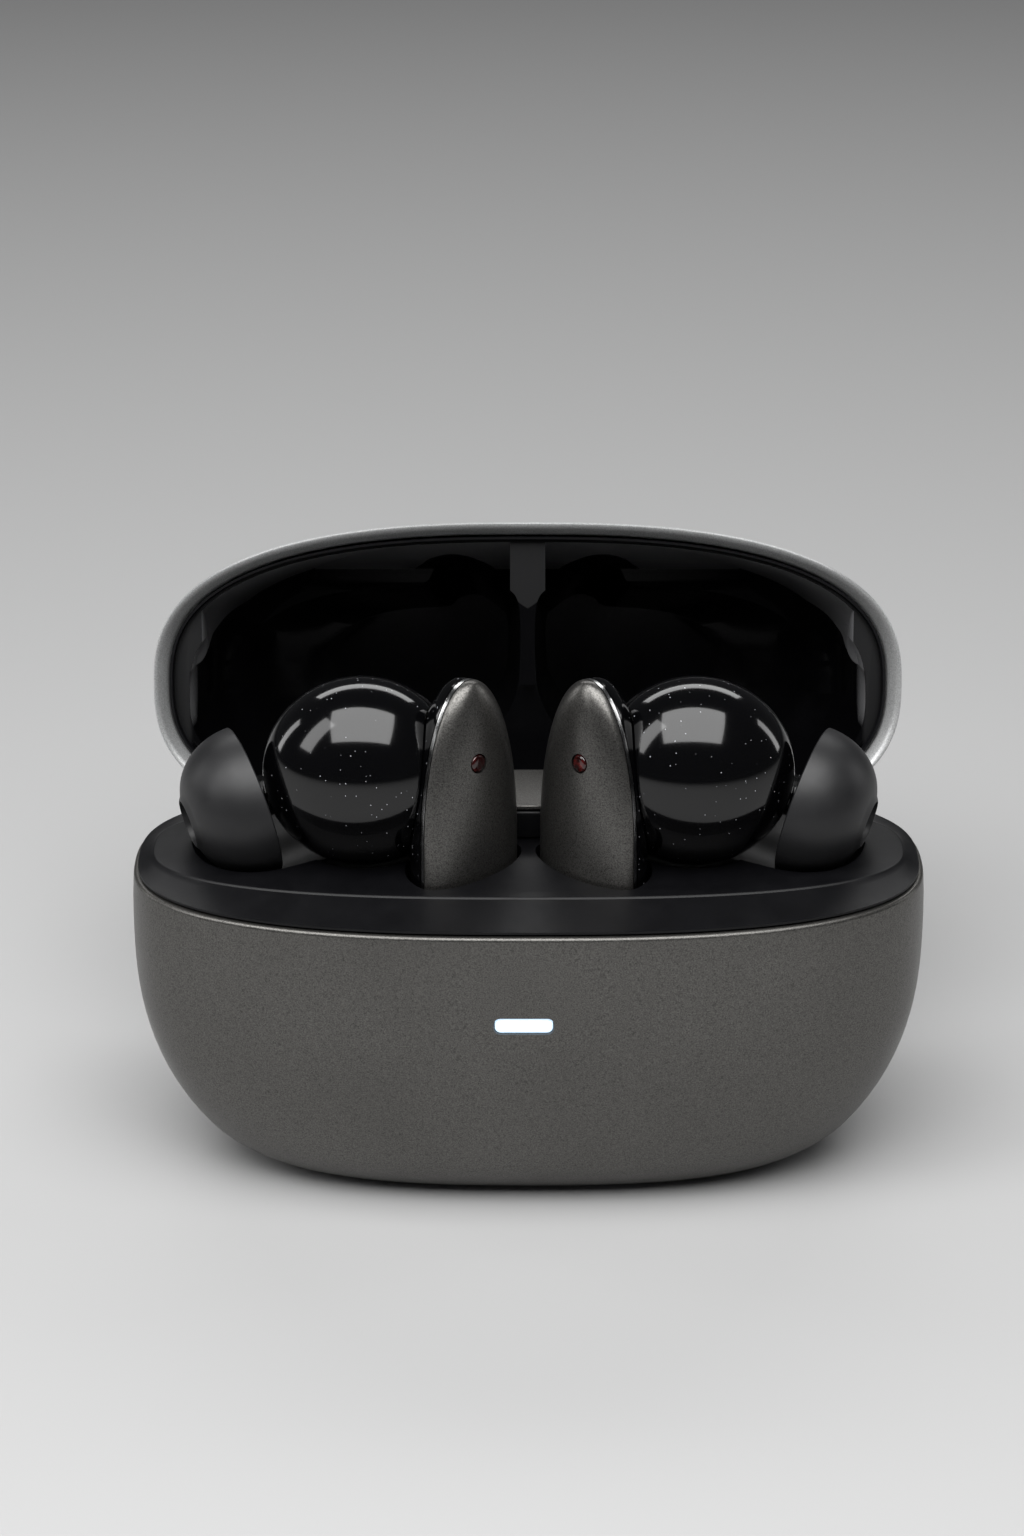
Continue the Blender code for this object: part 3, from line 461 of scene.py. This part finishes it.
def carve(target, *cutters, operation="DIFFERENCE", angle=38):
    """Applies the Booleans to the mesh itself and removes the cutters."""
    for cutter in cutters:
        modifier = target.modifiers.new("cut", "BOOLEAN")
        modifier.operation = operation
        modifier.object = cutter
        modifier.solver = "EXACT"
    bpy.context.view_layer.update()
    graph = bpy.context.evaluated_depsgraph_get()
    mesh = bpy.data.meshes.new_from_object(target.evaluated_get(graph))
    target.modifiers.clear()
    target.data = mesh
    for cutter in cutters:
        bpy.data.objects.remove(cutter)
    smooth(target, angle)
    return target


def softened(obj, width_mm, segments=3, angle=38):
    """Rounds the sharp edges a little and keeps the shading even."""
    bevel = obj.modifiers.new("edges", "BEVEL")
    bevel.width = width_mm * MM
    bevel.segments = segments
    bevel.limit_method = "ANGLE"
    bevel.angle_limit = radians(angle)
    return obj


def show(obj, body, slot, *nodes, look=None):
    """Gives a piece its material, hangs it on its body, and lets it stand for its CAD nodes."""
    obj.data.materials.clear()
    obj.data.materials.append(MATERIALS[look or slot])
    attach(obj, body)
    if nodes:
        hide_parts(*nodes)
    return obj


# ---------------------------------------------------------------- base

def build_base():
    heights = [0, 0.06, 0.25, 0.6, 1.1, 1.8, 2.7, 3.6]
    heights += [FOOT_ROUND + 1.2 * i for i in range(14)] + [WIDEST_Z, 22.4, 24.2]
    rings = [case_ring(z) for z in heights]
    lip = 0.34
    for step in range(7):
        turn = pi / 2 * step / 6
        rings.append(case_ring(SEAM_Z - lip, lip * (1 - cos(turn)), SEAM_Z - lip + lip * sin(turn)))
    rings.append(case_ring(SEAM_Z, WALL))
    rings += [case_ring(z, WALL) for z in (23.6, WIDEST_Z, 17, 13, 9, 5.5, 2.8, 1.9)]
    rings.append(case_ring(1.9, WALL + 1.2, FLOOR))
    shell = loft("case_body", rings)

    light_way = rounded_bar("light_way", LED_W / 2 + 0.1, LED_H / 2 + 0.1, 0.55,
                            [(-HALF_D - 2, 0), (-HALF_D + 3, 0)], (LED_X, LED_Z))
    usb_way = rounded_bar("usb_way", USB_W / 2 + 0.25, USB_H / 2 + 0.25, 1.7, [(9.5, 0), (16, 0)], (0, USB_Z))
    button_hole = BUTTON_R + 0.15
    button_way = spun("button_way", [(button_hole, 0), (button_hole, 6)], (0, 1, 0), (0, 10.5, BUTTON_Z))
    hinge_way = box("hinge_way", (-EAR_OUT - 0.35, 10.0, HINGE_Z - 3.2), (EAR_OUT + 0.35, 16, 30))
    carve(shell, light_way, usb_way, button_way, hinge_way)
    show(shell, "base", "metal_paint", "base_shell")

    front = -base_axes(LED_Z)[1]
    pipe = rounded_bar("status_light", LED_W / 2, LED_H / 2, 0.5,
                       [(front + 0.05, 0.16), (front + 0.09, 0.07), (front + 0.2, 0.0), (front + 2.2, 0.0)],
                       (LED_X, LED_Z))
    show(pipe, "base", "led_white", "led_light_pipe")


def stem_frame(side):
    """The stem's own axes: X across its face, Y into the pod, Z up the stem from the tray."""
    turn = Matrix.Rotation(STEM_TURN, 4, "Z")
    lean = Matrix.Rotation(-LEAN, 4, "X")
    place = Matrix.Translation(Vector((-STEM_X, STEM_Y, TRAY_Z)) * MM)
    return side_matrix(side) @ place @ lean @ turn


def side_matrix(side):
    """Pieces are shaped on the left and mirrored for the right."""
    return Matrix.Scale(-1, 4, (1, 0, 0)) if side > 0 else Matrix.Identity(4)


def stem_well(name, side, grow, low, high, count=72):
    """A straight-sided solid round the stem's section."""
    section = []
    for j in range(count):
        t = 2 * pi * j / count
        deep = COVER_BULGE if sin(t) > 0 else STEM_BACK
        section.append(((STEM_HALF + grow) * cos(t), -(deep + grow) * sin(t)))
    rings = [[(x, y, height) for x, y in section] for height in (low, high)]
    return placed(loft(name, rings), stem_frame(side))


def on_left(point):
    return (-point[0], point[1], point[2])


def tip_axis():
    """The way out of the left tip's mouth."""
    return (-cos(TIP_YAW) * cos(TIP_DIP), -sin(TIP_YAW) * cos(TIP_DIP), -sin(TIP_DIP))


def tip_profile(grow=0.0, steps=26):
    """Outer profile of the ear tip from its flared skirt to its mouth."""
    points = []
    for i in range(steps):
        t = pi / 2 * i / steps
        radius, height = (TIP_R + grow) * cos(t) ** 0.78, (TIP_LENGTH + grow) * sin(t)
        if radius > TIP_MOUTH + 0.25:
            points.append((radius, height))
    return points


def well_cutter(name, side):
    """The room that a pod and its tip need in the tray."""
    room = ball(name, on_left(BULB_AT), tuple(r + WELL_GAP for r in BULB_R), 64, 40)
    profile = [(TIP_R + WELL_GAP, -4.4)] + tip_profile(WELL_GAP, 12)
    carve(room, spun(name + "_tip", profile, tip_axis(), on_left(TIP_AT)), operation="UNION")
    return placed(room, side_matrix(side))


def build_tray():
    sink, band_low, band_high = SEAM_Z + 0.2, SEAM_Z + 0.38, TRAY_Z - 0.14
    rings = [case_ring(TRAY_UNDER, WALL + 0.35), case_ring(SEAM_Z, WALL + 0.35, sink)]
    rings += [case_ring(SEAM_Z, TRAY_INSET, sink), case_ring(SEAM_Z, TRAY_INSET, band_low)]
    a0, b0 = base_axes(SEAM_Z, TRAY_INSET)
    a1, b1 = TRAY_HALF_W + 0.12, TRAY_HALF_D + 0.12
    for step in range(1, 6):
        share = step / 5
        height = band_low + (band_high - band_low) * share ** 1.15
        rings.append(outline(a0 + (a1 - a0) * share, b0 + (b1 - b0) * share, height))
    for step in range(1, 5):
        turn = pi / 2 * step / 4
        inset = 0.04 + 0.22 * (1 - cos(turn))
        rings.append(outline(a1 - inset, b1 - inset, band_high + (TRAY_Z - band_high) * sin(turn)))
    tray = loft("seating_tray", rings)
    for side in (-1, 1):
        carve(tray, stem_well("wall", side, WELL_GAP + 0.8, STEM_BOTTOM - 1.3, -1.5), operation="UNION")
    cutters = []
    for side in (-1, 1):
        cutters.append(stem_well("stem_way", side, WELL_GAP, STEM_BOTTOM - 0.4, 6))
        cutters.append(well_cutter("bulb_way", side))
        for offset in (-PIN_SPREAD, PIN_SPREAD):
            hole = spun("pin_way", [(PIN_R + 0.15, -3), (PIN_R + 0.15, 2)], (0, 0, 1),
                        (offset, 1.2, STEM_BOTTOM - 0.5), 20)
            cutters.append(placed(hole, stem_frame(side)))
    cutters.append(box("arm_way", (-EAR_OUT - 0.5, 8.95, HINGE_Z - 4), (EAR_OUT + 0.5, 16, 30)))
    carve(tray, *cutters, angle=30)
    softened(tray, 0.16, 3, 40)
    show(tray, "base", "satin_black", "tray")


def build_hinge_cover():
    foot, top, waist_y, plate_scale = TRAY_Z + 0.12, TRAY_Z + 2.5, 4.6, 0.96
    plan = [(-1.2, 1.1), (1.2, 1.1), (1.2, 1.6), (3.4, 4.6), (3.4, 8.3), (-3.4, 8.3), (-3.4, 4.6),
            (-1.2, 1.6)]
    block = loft("spine_block", [[(x, y, z) for x, y in plan] for z in (foot, top)])
    softened(block, 0.22, 4)
    show(block, "base", "satin_black", "hinge_cover")
    smaller = [(x * plate_scale, waist_y + (y - waist_y) * plate_scale) for x, y in plan]
    plate = loft("spine_plate", [[(x, y, z) for x, y in smaller] for z in (top + 0.1, top + 0.5)])
    softened(plate, 0.12, 3)
    show(plate, "base", "gunmetal", "hinge_cover_plate")


# ---------------------------------------------------------------- lid, shaped shut and then opened

OPENED = (Matrix.Translation((0, HINGE_Y * MM, HINGE_Z * MM)) @ Matrix.Rotation(-OPEN_ANGLE, 4, "X")
          @ Matrix.Translation((0, -HINGE_Y * MM, -HINGE_Z * MM)))


def build_lid_shell():
    """Rings from the middle of the ceiling down the inside, round the rolled rim and up over the outside."""
    ledge = LID_RIM_Z + RIM_RISE
    rings = [case_ring(z + LID_WALL, LID_WALL, z) for z in (47.6, 46.9, 46.0, 44.0, 41.5)]
    rings += [case_ring(z, LID_WALL) for z in (38, 34, 30, ledge + 0.2)]
    rings.append(case_ring(ledge, LID_WALL - 0.14, ledge - 0.1))
    for inset, lift in ((0.62, 0.28), (0.36, 0.05), (0.16, 0.03)):
        rings.append(case_ring(LID_RIM_Z, inset, LID_RIM_Z + lift))
    rings.append(case_ring(LID_RIM_Z + 0.2, 0.03))
    rings += [case_ring(z - SKIN_INSET, SKIN_INSET) for z in LID_LEVELS]
    show(placed(loft("lid_body", rings), OPENED), "lid", "lid_paint", "lid_shell")


def cavity_plan(side):
    """The opening over one earbud, rounded into a smooth closed line."""
    front = [(0.75, -6.6), (2.2, -8.4), (4.2, -9.9), (6.2, -10.5), (8.4, -9.9), (10.2, -8.6), (16, -8.2),
             (21, -7.4), (25.6, -5.6), (28.3, -2.8)]
    rear = [(29.0, 1.0), (28.4, 4.6), (25.4, 7.7), (19.5, 9.2), (13.5, 9.9), (8.6, 9.6), (5.4, 7.8),
            (3.2, 5.2), (1.5, 2.6), (0.75, -0.2)]
    corners = [Vector((x, y)) for x, y in front + rear]
    points, count = [], len(corners)
    for i in range(count):
        a, b, c, d = (corners[(i + k - 1) % count] for k in range(4))
        for step in range(6):
            t = step / 6
            points.append(0.5 * ((2 * b) + (c - a) * t + (2 * a - 5 * b + 4 * c - d) * t * t
                                 + (3 * b - a - 3 * c + d) * t ** 3))
    return [(side * max(p.x, 0.55), p.y) for p in points]


def prism(name, section, x0, x1):
    return loft(name, [[(x, y, z) for y, z in section] for x in (x0, x1)])


def moulding_rings(inset):
    return [case_ring(z + (0 if z < LINER_SHOULDER else LINER_DROP), inset, z) for z in LINER_LEVELS]


def hollowed(cutter):
    """Keeps a cutter inside the moulding's outer wall, so that its hollow doesn't break through."""
    room = loft("room", [case_ring(LINER_Z, LINER_INSET + 0.4, LINER_Z - 3)]
                + moulding_rings(LINER_INSET + LINER_SKIN))
    return carve(cutter, room, operation="INTERSECT")


def cavity_cutter(side):
    """The hollow over one earbud, which narrows about a point beside the divider as it deepens."""
    x0, y0 = side * 3, -0.5
    plan = cavity_plan(side)
    rings = [[(x0 + (x - x0) * size, y0 + (y - y0) * size, z) for x, y in plan] for z, size in CAVITY_TAPER]
    return hollowed(loft("cavity", rings))


def swing_cutter(side):
    """The room that one earbud sweeps through the moulding as the lid shuts, an arc about the hinge."""
    low, high = sorted((side * 1.5, side * 27.9))
    arc = [radians(138 + 37 * i / 24) for i in range(25)]
    sweep = [(HINGE_Y + SWING_R * cos(a), HINGE_Z + SWING_R * sin(a)) for a in arc]
    behind = [(2.0, sweep[-1][1]), (2.0, sweep[0][1])]
    return hollowed(prism("swing", sweep + behind, low, high))


def liner_look(face):
    """Which of the moulding's materials a face has: 0 swept wall, 1 flat bezel, 2 floor of a hollow."""
    if face.normal.z > -0.3:
        return 0
    if face.center.z < (LINER_Z + 0.3) * MM:
        return 1
    return 2 if face.center.z > DEEP_Z * MM else 0


def build_lid_liner():
    edge = [case_ring(LINER_Z, LINER_INSET + 0.22), case_ring(LINER_Z, LINER_INSET + 0.06, LINER_Z + 0.07),
            case_ring(LINER_Z + 0.22, LINER_INSET)]
    liner = loft("lid_moulding", edge + moulding_rings(LINER_INSET))
    cutters = []
    for side in (-1, 1):
        cutters += [cavity_cutter(side), swing_cutter(side)]
    cutters.append(box("cover_way", (-4.1, 0.2, LINER_Z - 2), (4.1, 14, TRAY_Z + 3.9)))
    arm_room = ARM_HALF + 0.4
    cutters.append(box("arm_way", (-arm_room, HINGE_Y - 1.8, LINER_Z - 2), (arm_room, 15, HINGE_Z + 10.1)))
    carve(liner, *cutters, angle=32)
    show(liner, "lid", "gloss_black", "lid_liner", look="bezel_sweep")
    for look in ("bezel", "cavity"):
        liner.data.materials.append(MATERIALS[look])
    for face in liner.data.polygons:
        face.material_index = liner_look(face)
    placed(liner, OPENED)


def build_lid_trim():
    low, high = LINER_Z - 0.75, LINER_Z - 0.2
    section = ((high, 0.16, high), (low, 0.16, low + 0.08), (low, 0.22, low), (low, 0.38, low),
               (low, 0.44, low + 0.08), (high, 0.44, high))
    rings = [case_ring(z, LID_WALL + inset, at) for z, inset, at in section]
    ring = loft("lid_seal_ring", rings, closed=True)
    carve(ring, box("trim_break", (-ARM_HALF - 0.4, 9, low - 1), (ARM_HALF + 0.4, 16, high + 1)))
    show(placed(ring, OPENED), "lid", "satin_black", "lid_trim_ring")


# ---------------------------------------------------------------- earbuds

def stem_half(height):
    """Half the stem's width: an ellipse above the shoulder, straight, then narrowing to its foot."""
    if height > STEM_SHOULDER:
        share = min((height - STEM_SHOULDER) / (STEM_TOP - STEM_SHOULDER), 0.999)
        return STEM_HALF * sqrt(1 - share * share)
    if height < -1:
        return STEM_HALF + (STEM_FOOT_HALF - STEM_HALF) * ((-1 - height) / (-1 - STEM_BOTTOM)) ** 2
    return STEM_HALF


def stem_solid(name, side, y_low, y_high, grow=0.0, low=STEM_BOTTOM, high=None, steps=64, count=96):
    """The stem's form between two depths of its section, sampled evenly round the part that is left."""
    high = STEM_TOP + grow - 0.02 if high is None else high
    clip = max(y_low, -y_high, 0.0)
    deep = COVER_BULGE if y_low > 0 else STEM_BACK
    rings = []
    for i in range(steps):
        height = low + (high - low) * (1 - (1 - i / (steps - 1)) ** 2.2)
        half = stem_half(min(height, STEM_TOP)) + grow
        size = min(half / STEM_HALF, 1.0) ** 0.6
        reach = half * sqrt(1 - min(clip / (size * (deep + grow)), 0.97) ** 2)
        ring = []
        for j in range(count):
            t = 2 * pi * j / count
            x = reach * cos(t)
            rise = sqrt(max(1 - (x / half) ** 2, 0.0)) * size
            upper = min(rise * (COVER_BULGE + grow), y_high) if y_high > 0 else y_high
            lower = max(-rise * (STEM_BACK + grow), y_low) if y_low < 0 else y_low
            y = (upper + lower) / 2
            if abs(sin(t)) > 1e-9:
                y = upper if sin(t) > 0 else lower
            ring.append((x, -y, height))
        rings.append(ring)
    return placed(loft(name, rings), stem_frame(side))


def build_pod(word, side):
    bulb = ball(f"{word}_pod", on_left(BULB_AT), tuple(r - 0.02 for r in BULB_R), 128, 88)
    carve(bulb, stem_solid("way", -1, -9, 9, 0.12, steps=24, count=64))
    show(placed(bulb, side_matrix(side)), f"{word}_earbud", "gloss_black", f"{word}_bulb_housing")


def build_tip(word, side):
    """A hollow soft tip: curled skirt, rounded outside, lip, mouth and the inside of the skirt."""
    wall, bore = 0.45, TIP_MOUTH + 0.75
    outer = tip_profile(-0.02)
    curl = [(TIP_R - 0.36, -0.02), (TIP_R - 0.28, -0.10), (TIP_R - 0.14, -0.10), (TIP_R - 0.05, -0.03)]
    lip = [(TIP_MOUTH + 0.2, TIP_LENGTH - 0.08), (TIP_MOUTH + 0.06, TIP_LENGTH - 0.02),
           (TIP_MOUTH, TIP_LENGTH - 0.1)]
    inner = [(max(r - wall, TIP_MOUTH + 1.0), h - wall * 0.5) for r, h in outer[2:]]
    sleeve = [(TIP_MOUTH, -0.4), (bore, -0.4), (bore, inner[-1][1] - 0.7)]
    profile = curl + outer + lip + sleeve + inner[::-1]
    tip = spun(f"{word}_soft_tip", profile, tip_axis(), on_left(TIP_AT), 96, closed=True)
    show(placed(tip, side_matrix(side)), f"{word}_earbud", "silicone", f"{word}_ear_tip")


def build_stem(word, side):
    body, place = f"{word}_earbud", stem_frame(side)

    housing = stem_solid(f"{word}_stem_back", side, -9, -0.45)
    for offset in (-PIN_SPREAD, PIN_SPREAD):
        hole = spun("contact_way", [(0.7, -2), (0.7, 3)], (0, 0, 1), (offset, 1.2, STEM_BOTTOM), 24)
        carve(housing, placed(hole, place))
    softened(housing, 0.10, 3)
    show(housing, body, "gloss_black", f"{word}_stem_housing")

    trim = stem_solid(f"{word}_bright_trim", side, -0.35, 0.0)
    carve(trim, stem_solid("room", side, -2, 2, -0.55, STEM_BOTTOM + 0.6, STEM_TOP - 0.8))
    softened(trim, 0.09, 3)
    show(trim, body, "chrome", f"{word}_trim_ring")

    cover = stem_solid(f"{word}_stem_face", side, 0.1, 9, steps=84)
    carve(cover, placed(spun("window_way", [(0.8, -1.0), (0.8, 2.0)], (0, -1, 0), WINDOW_AT, 48), place))
    softened(cover, 0.08, 3)
    show(cover, body, "gunmetal", f"{word}_stem_cover")

    dome = [(0.7, -0.5), (0.7, -0.06), (0.66, 0.0), (0.52, 0.06), (0.3, 0.09), (0.1, 0.10)]
    glass = spun(f"{word}_window_glass", dome, (0, -1, 0), WINDOW_AT, 48)
    show(placed(glass, place), body, "lens_red", f"{word}_sensor_window")


# ---------------------------------------------------------------- studio

def softbox(name, place, aim, size, power_w):
    light = bpy.data.lights.new(name, "AREA")
    light.shape = "RECTANGLE"
    light.size, light.size_y = size[0] * MM, size[1] * MM
    light.energy = power_w
    obj = bpy.data.objects.new(name, light)
    bpy.context.scene.collection.objects.link(obj)
    obj.location = Vector(place) * MM
    obj.rotation_euler = (Vector(aim) - Vector(place)).to_track_quat("-Z", "Y").to_euler()


def build_floor():
    (near, near_painted_light), (far, far_painted_shade) = FLOOR_PAINTED_FALLOFF
    s = Shader("studio_paper")
    s.set(Roughness=0.7)
    # Painted light: the floor's colour darkens from front to back, standing in for the lamps' light falling
    # off.
    painted_falloff = s.remap(s.split(s.place)[1], near * MM, far * MM)
    s.link(s.ramp(painted_falloff, near_painted_light, far_painted_shade, 0.0, 1.0), s.bsdf.inputs["Base Color"])
    s.bump(s.noise(1.5, 3.0), 0.01, 0.2)
    floor = box("studio_floor", (-FLOOR_HALF, -FLOOR_HALF, FLOOR_TOP - FLOOR_THICK),
                (FLOOR_HALF, FLOOR_HALF, FLOOR_TOP))
    floor.data.materials.append(s.material)


def build_lights():
    world = bpy.data.worlds.new("studio")
    bpy.context.scene.world = world
    world.use_nodes = True
    sky = world.node_tree.nodes["Background"]
    sky.inputs["Color"].default_value = (0.75, 0.77, 0.80, 1)
    sky.inputs["Strength"].default_value = 0.06

    softbox("top_left_box", (-470, -190, 430), (-20, 0, 30), (200, 420), 1.15)
    softbox("top_right_box", (-10, -190, 470), (0, 0, 30), (560, 420), 4.1)
    softbox("back_top_box", (0, 420, 420), (0, 20, 40), (700, 120), 1.1)
    softbox("left_strip", (-560, 180, 200), (0, 0, 35), (90, 300), 0.35)
    softbox("right_strip", (560, 180, 200), (0, 0, 35), (90, 300), 0.3)


def build_camera():
    data = bpy.data.cameras.new("camera")
    data.lens, data.sensor_width, data.clip_start = CAMERA_LENS, 36.0, 0.01
    camera = bpy.data.objects.new("camera", data)
    bpy.context.scene.collection.objects.link(camera)
    rise = radians(CAMERA_RISE)
    back = Vector((0, -cos(rise), sin(rise)))
    camera.location = (Vector(CAMERA_AIM) + back * CAMERA_AWAY) * MM
    camera.rotation_euler = (-back).to_track_quat("-Z", "Y").to_euler()
    bpy.context.scene.camera = camera


build_base()
build_tray()
build_hinge_cover()
build_lid_shell()
build_lid_liner()
build_lid_trim()
for word, side in (("left", -1), ("right", 1)):
    build_pod(word, side)
    build_tip(word, side)
    build_stem(word, side)

# The CAD pieces that nothing replaces keep their shape and get the better materials
for part in frame["record"]["subparts"]:
    for slot in frame["nodes"][part["node"]].material_slots:
        slot.material = MATERIALS[part["material_slot"]]

build_floor()
build_lights()
build_camera()
bpy.context.scene.view_settings.view_transform = "Standard"
